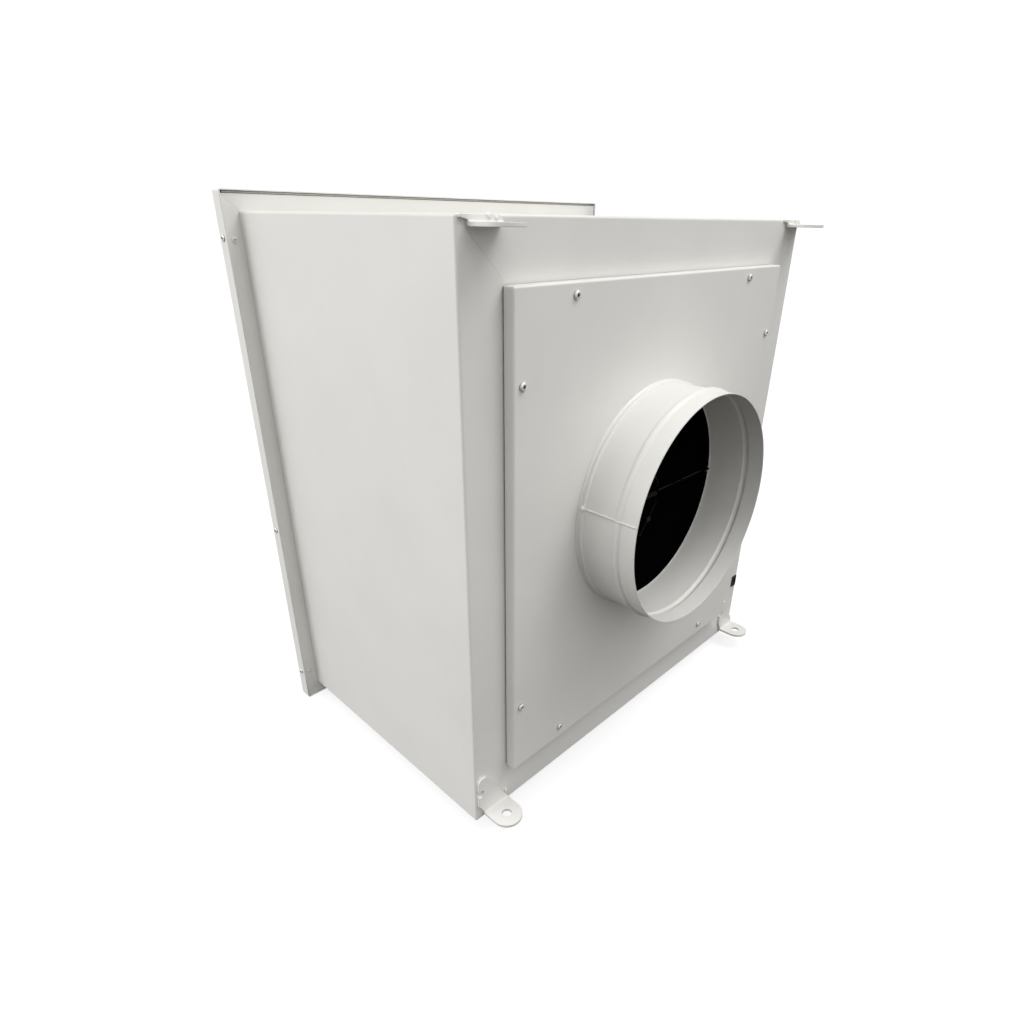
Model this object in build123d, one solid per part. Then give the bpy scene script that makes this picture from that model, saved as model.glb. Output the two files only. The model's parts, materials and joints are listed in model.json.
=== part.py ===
from build123d import *
import math
import os

# Box-type duct extractor fan: a folded white cabinet with a round duct spigot and a shut-off
# damper on its duct side, and a screwed room-side cover with a louvred inlet.
# Millimetres. The origin is the centre of the spigot's mouth. +Y runs from the duct into
# the room, +Z is up, and +X is to the right for someone looking along +Y into the spigot.

os.makedirs("parts", exist_ok=True)

# ---- driving dimensions -------------------------------------------------------------
SHEET = 1.2
BEND = 2.4                      # outside bend radius of the folded sheet
CABINET_WIDTH = 548.0
CABINET_HEIGHT = 596.0
CABINET_DEPTH = 341.0

SPIGOT_RADIUS = 125.0           # 250 mm duct
SPIGOT_WALL = 0.9
SPIGOT_REACH = 83.0             # from the cabinet's duct face to the spigot's mouth
SPIGOT_FROM_LEFT = 258.0
SPIGOT_FROM_BOTTOM = 317.0

PANEL_DEPTH = 13.0              # how far the access panel stands proud of the cabinet
PANEL_CORNER = 2.0
PANEL_BEND = 1.8                # outside bend radius of the panel's edges
PANEL_SEAL = 1.6
SCREW_CLEAR = 2.3               # clearance hole radius for an M4 screw
SCREW_SHANK = 1.95
SCREW_HEAD = 3.8
NUT_SLEEVE = 3.0                # outside radius of a rivet nut's sleeve

COVER_OVERHANG = 17.6           # cover beyond the cabinet at the sides and below
COVER_TOP_OVERHANG = 19.6
COVER_BEHIND = 2.2              # cover skirt behind the flange's duct-side face
COVER_FRONT = 15.4              # cover face in front of it
FLANGE_OUT = 15.9
FLANGE_TOP_OUT = 15.8
FLANGE_LIP = 13.4
COVER_SCREW_DEPTH = 6.0
COVER_SCREW_HEIGHTS = (24.0, 241.0, 571.0)

LUG_THICK = 3.0
LUG_WIDTH = 41.5
LUG_TONGUE = 34.0
LUG_HOLE_REACH = 20.5           # from the duct face to the hole, the centre of the round tip
LUG_HOLE_RADIUS = 5.3
LUG_HEIGHT = 53.0
LUG_LOWER_EDGE = 6.0            # from the cabinet's bottom to the lower tongues
LUG_UPPER_EDGE = 8.4            # from the cabinet's top to the upper tongues

FLAP_RADIUS = 122.2
FLAP_THICK = 1.0
HINGE_ROD_RADIUS = 1.5
KNUCKLE_RADIUS = 3.0
RUNNING_FIT = 0.05              # radial clearance of a turning fit
HINGE_GAP = 3.6                 # flap edge to the hinge line

WHEEL_RADIUS = 155.0
WHEEL_EYE = 103.5
BLADE_COUNT = 7
ROTOR_RADIUS = 66.0
SHAFT_RADIUS = 4.0
STANDOFF_PITCH = 240.0

# ---- places that follow from them ---------------------------------------------------
LEFT = -SPIGOT_FROM_LEFT
RIGHT = LEFT + CABINET_WIDTH
BOTTOM = -SPIGOT_FROM_BOTTOM
TOP = BOTTOM + CABINET_HEIGHT
BACK = SPIGOT_REACH             # duct-side face of the cabinet
ROOM = BACK + CABINET_DEPTH     # duct-side face of the room flange
MID_X = (LEFT + RIGHT) / 2
MID_Z = (BOTTOM + TOP) / 2

PANEL_LEFT = LEFT + 44.5
PANEL_RIGHT = LEFT + 492.0
PANEL_BOTTOM = BOTTOM + 53.5
PANEL_TOP = BOTTOM + 547.0
PANEL_FRONT = BACK - PANEL_DEPTH
OPENING = (LEFT + 66.0, LEFT + 468.0, BOTTOM + 83.0, BOTTOM + 524.0)
PANEL_SCREW_X = LEFT + 267.0
PANEL_SCREW_Z = BOTTOM + 303.0
PANEL_SCREWS = [
    (PANEL_SCREW_X + side * across, PANEL_SCREW_Z + level * up)
    for across, up in ((149.5, 233.5), (212.5, 167.0))
    for side in (-1, 1)
    for level in (-1, 1)
]

COVER_Y = ROOM + COVER_FRONT
HINGE_Y = PANEL_FRONT - 0.5
DECK_Y = ROOM - 84.0
WHEEL_BACK = DECK_Y - 118.0
MOTOR_Y = WHEEL_BACK - 97.0     # room-side face of the motor's carrier plate


# ---- helpers ------------------------------------------------------------------------
def slab(x0, x1, y0, y1, z0, z1):
    """A block between two corners."""
    centre = Pos((x0 + x1) / 2, (y0 + y1) / 2, (z0 + z1) / 2)
    return centre * Box(abs(x1 - x0), abs(y1 - y0), abs(z1 - z0))


def rod_y(radius, y0, y1, x=0.0, z=0.0):
    """A round bar along Y."""
    return Pos(x, (y0 + y1) / 2, z) * Rot(90, 0, 0) * Cylinder(radius, abs(y1 - y0))


def rod_x(radius, x0, x1, y, z):
    """A round bar along X."""
    return Pos((x0 + x1) / 2, y, z) * Rot(0, 90, 0) * Cylinder(radius, abs(x1 - x0))


def rod_z(radius, z0, z1, x, y):
    """A round bar along Z."""
    return Pos(x, y, (z0 + z1) / 2) * Cylinder(radius, abs(z1 - z0))


def ring_y(outer, inner, y0, y1, x=0.0, z=0.0):
    """A flat-ended ring about a line along Y."""
    return rod_y(outer, y0, y1, x, z) - rod_y(inner, y0 - 1, y1 + 1, x, z)


def donut_y(major, minor, y):
    """A torus about the Y axis."""
    return Pos(0, y, 0) * Rot(90, 0, 0) * Torus(major, minor)


def plate_xz(points, y0, y1):
    """A flat plate of the given X-Z outline."""
    outline = Plane.XZ * make_face(Polyline(*points, close=True))
    return Pos(0, y0, 0) * extrude(outline, amount=y1 - y0, dir=(0, 1, 0))


def turned(points):
    """A solid turned about the Y axis from a closed (radius, y) outline of straight lines."""
    return revolve(make_face(Polyline(*points, close=True)), Axis.Y)


def frame_xz(x0, x1, z0, z1, width, y0, y1):
    """A rectangular ring of the given width, measured inwards."""
    hole = slab(x0 + width, x1 - width, y0 - 1, y1 + 1, z0 + width, z1 - width)
    return slab(x0, x1, y0, y1, z0, z1) - hole


def rounded_box(x0, x1, y0, y1, z0, z1, edge_radius, corner_radius):
    """A block with rounded duct-side edges and rounded corners along Y."""
    block = slab(x0, x1, y0, y1, z0, z1)
    block = fillet(block.edges().filter_by(Axis.Y), corner_radius)
    return fillet(block.edges().group_by(Axis.Y)[0], edge_radius)


def write(name, shape):
    """One STEP file per sub-part; a list of solids becomes a group."""
    solids = [s for item in shape for s in item.solids()] if isinstance(shape, list) else shape.solids()
    export_step(solids[0] if len(solids) == 1 else Compound(children=list(solids)), f"parts/{name}.step")


# ---- cabinet ------------------------------------------------------------------------
def cabinet_shell():
    """Walls, duct-side margin, and the room-side flange with its lip turned into the room."""
    outside = rounded_box(LEFT, RIGHT, BACK, ROOM + SHEET, BOTTOM, TOP, BEND, BEND)
    inside = rounded_box(
        LEFT + SHEET, RIGHT - SHEET, BACK + SHEET, ROOM + 30, BOTTOM + SHEET, TOP - SHEET,
        BEND - SHEET, BEND - SHEET,
    )
    rim = slab(
        LEFT - FLANGE_OUT, RIGHT + FLANGE_OUT, ROOM, ROOM + FLANGE_LIP,
        BOTTOM - FLANGE_OUT, TOP + FLANGE_TOP_OUT,
    )
    rim -= slab(
        LEFT - FLANGE_OUT + SHEET, RIGHT + FLANGE_OUT - SHEET, ROOM + SHEET, ROOM + 30,
        BOTTOM - FLANGE_OUT + SHEET, TOP + FLANGE_TOP_OUT - SHEET,
    )
    shell = outside + rim - inside
    x0, x1, z0, z1 = OPENING
    shell -= slab(x0, x1, BACK - 1, BACK + 5, z0, z1)
    for x, z in PANEL_SCREWS:
        shell -= rod_y(NUT_SLEEVE, BACK - 1, BACK + 5, x, z)
    for height in COVER_SCREW_HEIGHTS:
        across = rod_x(
            NUT_SLEEVE, LEFT - 40, RIGHT + 40, ROOM + COVER_SCREW_DEPTH, BOTTOM + height
        )
        shell -= across
    for x, z in flange_rivet_places():
        shell -= rod_y(1.6, ROOM - 1, ROOM + 3, x, z)
    return shell - inlet_block(0, BACK - 1, BACK + 5, 2.3)


def mitre(side):
    """The X-Z wedge that one wall of the cabinet takes, cut at 45 degrees at its corners."""
    reach, run = 60, 200
    corners = {
        "left": [(LEFT, BOTTOM, 1, 1), (LEFT, TOP, 1, -1)],
        "right": [(RIGHT, BOTTOM, -1, 1), (RIGHT, TOP, -1, -1)],
        "bottom": [(LEFT, BOTTOM, 1, 1), (RIGHT, BOTTOM, -1, 1)],
        "top": [(LEFT, TOP, 1, -1), (RIGHT, TOP, -1, -1)],
    }[side]
    (ax, az, asx, asz), (bx, bz, bsx, bsz) = corners
    points = [
        (ax - asx * reach, az - asz * reach),
        (ax + asx * run, az + asz * run),
        (bx + bsx * run, bz + bsz * run),
        (bx - bsx * reach, bz - bsz * reach),
    ]
    return plate_xz(points, BACK - 5, ROOM + 40)


def flange_rivet_places():
    """Rivets through the room flange, two on each long side, near the end cover screws."""
    heights = (COVER_SCREW_HEIGHTS[0] - 1, COVER_SCREW_HEIGHTS[2] - 2)
    return [(x, BOTTOM + h) for x in (LEFT - 9, RIGHT + 9) for h in heights]


def flange_rivets():
    """Blind rivets: a low dome on the duct side, a stem through the flange and guide."""
    rivets = []
    for x, z in flange_rivet_places():
        head = rod_y(3.2, ROOM - 1.1, ROOM, x, z)
        head = fillet(head.edges().group_by(Axis.Y)[0], 0.9)
        rivets.append(head + rod_y(1.55, ROOM - 0.5, ROOM + 2.8, x, z))
    return rivets


CABLE_HOLE = 3.5
CABLE_INLET = (LEFT + 538.5, BOTTOM + 87.0)
INLET_HALF_WIDTH = 4.8          # of the hole in the cabinet
INLET_HALF_HEIGHT = 7.8


def inlet_block(margin, y0, y1, corner):
    """Upright block with rounded corners, the given margin larger than the inlet's hole."""
    x, z = CABLE_INLET
    block = slab(
        x - INLET_HALF_WIDTH - margin, x + INLET_HALF_WIDTH + margin, y0, y1,
        z - INLET_HALF_HEIGHT - margin, z + INLET_HALF_HEIGHT + margin,
    )
    return fillet(block.edges().filter_by(Axis.Y), corner)


def cable_inlet_frame():
    """Snap-in frame that lines the upright supply cable inlet."""
    bezel = inlet_block(1.2, BACK - 1.6, BACK, 1.8)
    bezel = fillet(bezel.edges().group_by(Axis.Y)[0], 0.5)
    neck = inlet_block(-0.1, BACK - 0.5, BACK + 9, 2.2)
    return bezel + neck - inlet_block(-0.9, BACK - 5, BACK + 12, 1.6)


def cable_inlet_bush():
    """Black rubber bush in the inlet, with a round hole for the supply cable."""
    x, z = CABLE_INLET
    bush = inlet_block(-0.95, BACK - 1.2, BACK + 8, 1.6)
    return bush - rod_y(CABLE_HOLE, BACK - 5, BACK + 12, x, z)


# ---- hanging lugs -------------------------------------------------------------------
def hanging_lug(x0, foot, leg_height, taper):
    """Welded bracket: a leg on the duct face above a round-ended tongue with a hole."""
    fold_left, fold_right = x0 + LUG_WIDTH - LUG_TONGUE, x0 + LUG_WIDTH
    hole_x = fold_right - LUG_TONGUE / 2
    hole_y = BACK - LUG_HOLE_REACH
    outline = [
        (fold_left, foot),
        (fold_left, foot + 4.2),
        (x0 + 0.5, foot + min(16, leg_height - 2)),
        (x0 + 0.5, foot + leg_height),
        (x0 + taper, foot + leg_height),
        (fold_right, foot + 4.2),
        (fold_right, foot),
    ]
    leg = plate_xz(outline, BACK - LUG_THICK, BACK)
    tongue = slab(fold_left, fold_right, hole_y, BACK, foot, foot + LUG_THICK)
    tongue += rod_z(LUG_TONGUE / 2, foot, foot + LUG_THICK, hole_x, hole_y)
    lug = leg + tongue
    inner_bend = [
        edge
        for edge in lug.edges().filter_by(Axis.X)
        if abs(edge.center().Y - (BACK - LUG_THICK)) < 0.01
        and abs(edge.center().Z - (foot + LUG_THICK)) < 0.01
    ]
    lug = fillet(inner_bend, 1.5)
    outer_bend = [
        edge
        for edge in lug.edges().filter_by(Axis.X)
        if abs(edge.center().Y - BACK) < 0.01 and abs(edge.center().Z - foot) < 0.01
    ]
    lug = fillet(outer_bend, 3.9)
    return lug - rod_z(LUG_HOLE_RADIUS, foot - 9, foot + 9, hole_x, hole_y)


def lower_lug(x0):
    """Lug with a tall tapered leg that is notched near the cabinet's corner."""
    foot = BOTTOM + LUG_LOWER_EDGE
    lug = hanging_lug(x0, foot, LUG_HEIGHT, 12.0)
    lug = fillet(lug.edges().filter_by(Axis.Y).group_by(Axis.Z)[-1], 5.0)
    return lug - rod_y(4.6, BACK - 9, BACK + 1, x0 + 3.0, foot + 33)


def upper_lug(x0):
    """Lug whose leg ends at the cabinet's top edge."""
    return hanging_lug(x0, TOP - LUG_UPPER_EDGE, LUG_UPPER_EDGE - 0.6, LUG_WIDTH - 4)


# ---- access panel and spigot --------------------------------------------------------
def access_panel():
    """Folded tray over the duct-side opening; it carries the spigot."""
    tray = rounded_box(
        PANEL_LEFT, PANEL_RIGHT, PANEL_FRONT, BACK - PANEL_SEAL, PANEL_BOTTOM, PANEL_TOP,
        PANEL_BEND, PANEL_CORNER,
    )
    tray -= rounded_box(
        PANEL_LEFT + SHEET, PANEL_RIGHT - SHEET, PANEL_FRONT + SHEET, BACK + 5,
        PANEL_BOTTOM + SHEET, PANEL_TOP - SHEET, PANEL_BEND - SHEET, PANEL_CORNER - SHEET,
    )
    tray -= rod_y(SPIGOT_RADIUS + 0.2, PANEL_FRONT - 1, PANEL_FRONT + 5)
    for x, z in PANEL_SCREWS:
        tray -= rod_y(SCREW_CLEAR, PANEL_FRONT - 1, PANEL_FRONT + 5, x, z)
    return tray


def panel_seal():
    """Foam strip between the tray's edge and the cabinet."""
    return frame_xz(
        PANEL_LEFT + 1.0, PANEL_RIGHT - 1.0, PANEL_BOTTOM + 1.0, PANEL_TOP - 1.0, 4.5,
        BACK - PANEL_SEAL, BACK,
    )


def pan_screw_y(x, z, face, end):
    """Button-head M4 screw driven along +Y."""
    head = rod_y(SCREW_HEAD, face - 2.6, face, x, z)
    head = fillet(head.edges().group_by(Axis.Y)[0], 1.2)
    return head + rod_y(SCREW_SHANK, face - 0.5, end, x, z)


def rivet_nut_y(x, z):
    """Rivet nut in the cabinet's duct-side margin."""
    sleeve = rod_y(NUT_SLEEVE, BACK, BACK + 10, x, z) + rod_y(4.8, BACK + SHEET, BACK + 3.2, x, z)
    return sleeve - rod_y(SCREW_SHANK + RUNNING_FIT, BACK - 3, BACK + 12, x, z)


BEAD_PLACE = 21.8               # along Y, from the spigot's mouth
BEAD_HEIGHT = 2.3
BEAD_SECTION = 4.6              # radius of the rolled section
BASE_RING = (
    # (height over the tube, distance in front of the panel)
    (0.0, 8.0), (1.8, 7.2), (2.6, 6.4), (2.6, 5.6), (1.7, 4.6), (1.6, 2.6), (2.7, 1.0), (2.9, 0.0),
)
SEAM_WELD = (
    # (start along Y, end, height over the wall): low on the lip that the duct slides over
    (0.4, 17.2, 0.3),
    (26.4, 61.0, 0.5),
)


def duct_spigot():
    """Rolled 250 mm tube with a stiffening bead, a base ring at the panel and a welded seam."""
    end = PANEL_FRONT + SHEET + SPIGOT_WALL
    bore = SPIGOT_RADIUS - SPIGOT_WALL
    tube = ring_y(SPIGOT_RADIUS, bore, 0, end)
    tube += ring_y(SPIGOT_RADIUS + 6, bore, PANEL_FRONT + SHEET, end)
    bead = SPIGOT_RADIUS + BEAD_HEIGHT - BEAD_SECTION
    tube += donut_y(bead, BEAD_SECTION, BEAD_PLACE) - rod_y(bore + 0.3, -5, 100)
    tube -= donut_y(bead, BEAD_SECTION - SPIGOT_WALL, BEAD_PLACE)
    inside = SPIGOT_RADIUS - 0.4
    tube += turned(
        [(inside, PANEL_FRONT - BASE_RING[0][1])]
        + [(SPIGOT_RADIUS + height, PANEL_FRONT - before) for height, before in BASE_RING]
        + [(inside, PANEL_FRONT)]
    )
    seam = Rot(0, 10, 0) * slab(-200, 0, -1, 62, -1.1, 1.1)
    for start, stop, height in SEAM_WELD:
        tube += ring_y(SPIGOT_RADIUS + height, SPIGOT_RADIUS - 0.3, start, stop) & seam
    return tube


# ---- shut-off damper ----------------------------------------------------------------
def damper_ring():
    """Liner band inside the spigot; its inward lip is the flaps' seat."""
    bore = SPIGOT_RADIUS - SPIGOT_WALL - 0.2
    band = ring_y(bore, bore - 1.0, HINGE_Y - 1.0, HINGE_Y + 1.9)
    lip = ring_y(bore, bore - 11.0, HINGE_Y + 0.9, HINGE_Y + 1.9)
    lip -= slab(-200, 200, 0, 200, -4.2, 4.2)
    return band + lip - rod_x(HINGE_ROD_RADIUS, -200, 200, HINGE_Y, 0)


def hinge_rod():
    """Fixed rod across the spigot that both flaps turn on."""
    half = SPIGOT_RADIUS - SPIGOT_WALL - 0.2
    return rod_x(HINGE_ROD_RADIUS, -half, half, HINGE_Y, 0)


KNUCKLES = {1: ((-108, -62), (13, 60)), -1: ((-60, -13), (62, 108))}


def damper_flap(side):
    """Half-disc flap, side 1 above the rod and -1 below it, with its rolled knuckles."""
    near = side * HINGE_GAP
    flap = rod_y(FLAP_RADIUS, HINGE_Y - FLAP_THICK / 2, HINGE_Y + FLAP_THICK / 2)
    flap &= slab(-200, 200, 0, 200, near, side * 200)
    for x0, x1 in KNUCKLES[side]:
        flap += slab(
            x0, x1, HINGE_Y - FLAP_THICK / 2, HINGE_Y + FLAP_THICK / 2, side * 2.5, near
        )
        flap += rod_x(KNUCKLE_RADIUS, x0, x1, HINGE_Y, 0)
    return flap - rod_x(HINGE_ROD_RADIUS + RUNNING_FIT, -200, 200, HINGE_Y, 0)


def spring_coil():
    """Closing spring's coil, wound round the rod between the knuckles."""
    coil = rod_x(3.1, -10, 10, HINGE_Y, 0)
    return coil - rod_x(HINGE_ROD_RADIUS + 0.3, -11, 11, HINGE_Y, 0)


ARM_FROM = (11.5, 12.0)
ARM_TO = (-15.5, 46.0)
ARM_WIRE = 0.6
ARM_Y = HINGE_Y - FLAP_THICK / 2 - ARM_WIRE


def spring_arm(side, radius=ARM_WIRE):
    """Straight wire arm of the closing spring, lying on its flap's duct side."""
    x0, z0 = ARM_FROM
    x1, z1 = ARM_TO
    start = Vector(x0, ARM_Y, side * z0)
    end = Vector(x1, ARM_Y, side * z1)
    along = Plane(origin=start, z_dir=end - start)
    return extrude(along * Circle(radius), amount=(end - start).length)


def arm_clip(side):
    """Small riveted saddle that holds the spring arm to its flap."""
    x = (ARM_FROM[0] + ARM_TO[0]) / 2
    z = side * (ARM_FROM[1] + ARM_TO[1]) / 2
    face = HINGE_Y - FLAP_THICK / 2
    clip = slab(x - 3.5, x + 3.5, face - 2.0, face, z - 3.0, z + 3.0)
    clip = fillet(clip.edges().group_by(Axis.Y)[0], 0.7)
    return clip - spring_arm(side, ARM_WIRE + RUNNING_FIT)


# ---- room-side cover, grille and filter ---------------------------------------------
COVER_LEFT = LEFT - COVER_OVERHANG
COVER_RIGHT = RIGHT + COVER_OVERHANG
COVER_BOTTOM = BOTTOM - COVER_OVERHANG
COVER_TOP = TOP + COVER_TOP_OVERHANG
GRILLE_WIDTH = 440.0
GRILLE_HEIGHT = 480.0


def room_cover():
    """Tray that wraps the room flange, with a rectangular inlet opening."""
    tray = slab(
        COVER_LEFT, COVER_RIGHT, ROOM - COVER_BEHIND, COVER_Y, COVER_BOTTOM, COVER_TOP
    )
    tray = fillet(tray.edges().filter_by(Axis.Y), BEND)
    tray = fillet(tray.edges().group_by(Axis.Y)[-1], BEND)
    tray -= slab(
        COVER_LEFT + SHEET, COVER_RIGHT - SHEET, ROOM - 9, COVER_Y - SHEET,
        COVER_BOTTOM + SHEET, COVER_TOP - SHEET,
    )
    tray -= slab(
        MID_X - GRILLE_WIDTH / 2, MID_X + GRILLE_WIDTH / 2, COVER_Y - 9, COVER_Y + 1,
        MID_Z - GRILLE_HEIGHT / 2, MID_Z + GRILLE_HEIGHT / 2,
    )
    for height in COVER_SCREW_HEIGHTS:
        tray -= rod_x(
            SCREW_CLEAR, LEFT - 40, RIGHT + 40, ROOM + COVER_SCREW_DEPTH, BOTTOM + height
        )
    for x, z in grille_screw_places():
        tray -= rod_y(2.0, COVER_Y - 3, COVER_Y + 1, x, z)
    return tray


def cover_seal():
    """Foam strip on the flange's top lip, under the cover's top edge."""
    return slab(
        COVER_LEFT + 4, COVER_RIGHT - 4, ROOM + 0.3, ROOM + FLANGE_LIP,
        TOP + FLANGE_TOP_OUT, COVER_TOP - SHEET,
    )


def cover_screws():
    """Pan-head M4 screws through the cover's left and right edges."""
    screws = []
    for side, face in ((-1, COVER_LEFT), (1, COVER_RIGHT)):
        for height in COVER_SCREW_HEIGHTS:
            y, z = ROOM + COVER_SCREW_DEPTH, BOTTOM + height
            head = rod_x(3.4, face + side * 1.5, face, y, z)
            rim = head.edges().group_by(Axis.X)[0 if side < 0 else -1]
            head = fillet(rim, 0.9)
            screws.append(head + rod_x(SCREW_SHANK, face + side * 0.5, face - side * 11, y, z))
    return screws


def cover_nuts():
    """Rivet nuts in the flange's lip that the cover screws run into."""
    nuts = []
    for side, lip in ((-1, LEFT - FLANGE_OUT), (1, RIGHT + FLANGE_OUT)):
        for height in COVER_SCREW_HEIGHTS:
            y, z = ROOM + COVER_SCREW_DEPTH, BOTTOM + height
            nut = rod_x(NUT_SLEEVE, lip, lip - side * 9, y, z)
            nut += rod_x(4.2, lip - side * SHEET, lip - side * 3, y, z)
            nuts.append(nut - rod_x(SCREW_SHANK + RUNNING_FIT, lip - 20, lip + 20, y, z))
    return nuts


def grille_screw_places():
    """The four corners where the grille is fixed to the cover."""
    x, z = GRILLE_WIDTH / 2 + 8, GRILLE_HEIGHT / 2 + 8
    return [(MID_X + sx * x, MID_Z + sz * z) for sx in (-1, 1) for sz in (-1, 1)]


def grille_frame():
    """Face frame of the inlet grille, with a neck that drops into the cover's opening."""
    x0, x1 = MID_X - GRILLE_WIDTH / 2, MID_X + GRILLE_WIDTH / 2
    z0, z1 = MID_Z - GRILLE_HEIGHT / 2, MID_Z + GRILLE_HEIGHT / 2
    face = frame_xz(x0 - 16, x1 + 16, z0 - 16, z1 + 16, 18.5, COVER_Y, COVER_Y + 2)
    face = fillet(face.edges().group_by(Axis.Y)[-1], 0.8)
    neck = frame_xz(x0 + 0.5, x1 - 0.5, z0 + 0.5, z1 - 0.5, 2.0, COVER_Y - 13, COVER_Y + 1)
    frame = face + neck
    for x, z in grille_screw_places():
        frame -= rod_y(2.0, COVER_Y - 1, COVER_Y + 3, x, z)
    return frame


def grille_louvres():
    """Fixed blades between the sides of the grille's neck."""
    half = GRILLE_WIDTH / 2 - 2.5
    count, pitch = 18, 25.6
    blade = fillet(Box(2 * half, 1.4, 20).edges().filter_by(Axis.X), 0.5)
    first = MID_Z - (count - 1) * pitch / 2
    return [
        Pos(MID_X, COVER_Y - 5.2, first + index * pitch) * Rot(-38, 0, 0) * blade
        for index in range(count)
    ]


def grille_screws():
    """Pan-head screws through the grille's face frame into the cover."""
    return [
        rod_y(3.4, COVER_Y + 2, COVER_Y + 3.2, x, z)
        + rod_y(1.9, COVER_Y - 6, COVER_Y + 2.5, x, z)
        for x, z in grille_screw_places()
    ]


FILTER_Y0 = ROOM - 24.5
FILTER_Y1 = ROOM - 2.5
FILTER_BOX = (LEFT + 4, RIGHT - 4, BOTTOM + 4, TOP - 4)


def filter_frame():
    """Channel frame round the filter pad."""
    x0, x1, z0, z1 = FILTER_BOX
    frame = frame_xz(x0, x1, z0, z1, 14, FILTER_Y0, FILTER_Y1)
    return frame - frame_xz(
        x0 + 1.0, x1 - 1.0, z0 + 1.0, z1 - 1.0, 20, FILTER_Y0 + 1, FILTER_Y1 - 1
    )


def filter_pad():
    """Washable filter pad held in the frame's channel."""
    x0, x1, z0, z1 = FILTER_BOX
    return slab(x0 + 1.5, x1 - 1.5, FILTER_Y0 + 1.3, FILTER_Y1 - 1.3, z0 + 1.5, z1 - 1.5)


def filter_guide(side):
    """Folded strip down one side: a tab on the flange, a leg on the wall, and a shelf."""
    wall = LEFT + SHEET if side < 0 else RIGHT - SHEET
    inward = -side
    z0, z1 = BOTTOM + 6, TOP - 6
    shelf_y = FILTER_Y0 - 1.2
    tab = slab(wall - inward * 13.5, wall + inward, ROOM + SHEET, ROOM + SHEET + 1, z0, z1)
    leg = slab(wall, wall + inward, shelf_y, ROOM + SHEET + 1, z0, z1)
    shelf = slab(wall, wall + inward * 16, shelf_y, shelf_y + 1, z0, z1)
    guide = tab + leg + shelf
    for x, z in flange_rivet_places():
        guide -= rod_y(1.6, ROOM - 1, ROOM + 5, x, z)
    for height in COVER_SCREW_HEIGHTS:
        guide -= slab(
            wall - inward * 20, wall - inward * 3, ROOM, ROOM + 5,
            BOTTOM + height - 7, BOTTOM + height + 7,
        )
    return guide


# ---- fan deck and inlet ring --------------------------------------------------------
DECK_SCREW_Z = (-240.0, -20.0, 200.0)


def deck_runner(side):
    """Angle welded to one wall; the fan deck is screwed to it."""
    wall = LEFT + SHEET if side < 0 else RIGHT - SHEET
    inward = -side
    z0, z1 = BOTTOM + 12, TOP - 12
    runner = slab(wall, wall + inward * 1.5, DECK_Y - 22, DECK_Y, z0, z1)
    runner += slab(wall, wall + inward * 24, DECK_Y - 1.5, DECK_Y, z0, z1)
    for z in DECK_SCREW_Z:
        runner -= rod_y(2.6, DECK_Y - 3, DECK_Y + 1, wall + inward * 14, z)
    return runner


def deck_screws():
    """Screws that hold the fan deck on its runners."""
    places = [(wall + inward * 14, z) for wall, inward in ((LEFT + SHEET, 1), (RIGHT - SHEET, -1))
              for z in DECK_SCREW_Z]
    return [
        rod_y(4.4, DECK_Y + 1.5, DECK_Y + 4, x, z) + rod_y(2.4, DECK_Y - 8, DECK_Y + 2, x, z)
        for x, z in places
    ]


def standoff_places():
    """Where the four motor stand-offs meet the deck."""
    half = STANDOFF_PITCH / 2
    return [(sx * half, sz * half) for sx in (-1, 1) for sz in (-1, 1)]


def fan_deck():
    """Bulkhead between the filter space and the fan, with folded edges."""
    x0, x1, z0, z1 = LEFT + 2, RIGHT - 2, BOTTOM + 2, TOP - 2
    deck = slab(x0, x1, DECK_Y, DECK_Y + 1.5, z0, z1)
    deck += frame_xz(x0, x1, z0, z1, 1.5, DECK_Y, DECK_Y + 22)
    deck -= rod_y(129.5, DECK_Y - 1, DECK_Y + 3)
    for z in DECK_SCREW_Z:
        for x in (LEFT + SHEET + 14, RIGHT - SHEET - 14):
            deck -= rod_y(2.6, DECK_Y - 1, DECK_Y + 3, x, z)
    for x, z in standoff_places():
        deck -= rod_y(4.1, DECK_Y - 1, DECK_Y + 3, x, z)
    for x, z in ring_screw_places():
        deck -= rod_y(2.0, DECK_Y - 1, DECK_Y + 3, x, z)
    return deck


def ring_screw_places():
    """Four fixings of the inlet ring's rim."""
    return [
        (142 * math.cos(math.radians(a)), 142 * math.sin(math.radians(a)))
        for a in (0, 90, 180, 270)
    ]


def inlet_ring():
    """Bellmouth that leads air into the wheel's eye."""
    face = DECK_Y + 2.7
    under = DECK_Y + 1.5
    centre_y = face - 30
    lip = centre_y - 7
    edge = make_face(
        Polyline((152, under), (152, face), (129, face))
        + CenterArc((129, centre_y), 30, 90, 90)
        + Polyline((99, centre_y), (99, lip), (100.2, lip), (100.2, centre_y))
        + CenterArc((129, centre_y), 28.8, 90, 90)
        + Polyline((129, under), (152, under))
    )
    ring = revolve(edge, Axis.Y)
    for x, z in ring_screw_places():
        ring -= rod_y(2.0, DECK_Y - 1, DECK_Y + 5, x, z)
    return ring


def inlet_ring_screws():
    """Screws through the inlet ring's rim."""
    return [
        rod_y(3.6, DECK_Y + 2.7, DECK_Y + 4.7, x, z) + rod_y(1.9, DECK_Y - 5, DECK_Y + 3, x, z)
        for x, z in ring_screw_places()
    ]


# ---- fan wheel and motor ------------------------------------------------------------
SHROUD_RIM = WHEEL_BACK + 60.0
SHROUD_NECK = WHEEL_BACK + 77.5
SHROUD_COLLAR = DECK_Y - 30.0


def wheel_backplate():
    """Back disc of the wheel, bolted to the rotor."""
    disc = ring_y(WHEEL_RADIUS, 22, WHEEL_BACK, WHEEL_BACK + 2)
    for x, z in rotor_screw_places():
        disc -= rod_y(2.6, WHEEL_BACK - 1, WHEEL_BACK + 3, x, z)
    return disc


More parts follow.
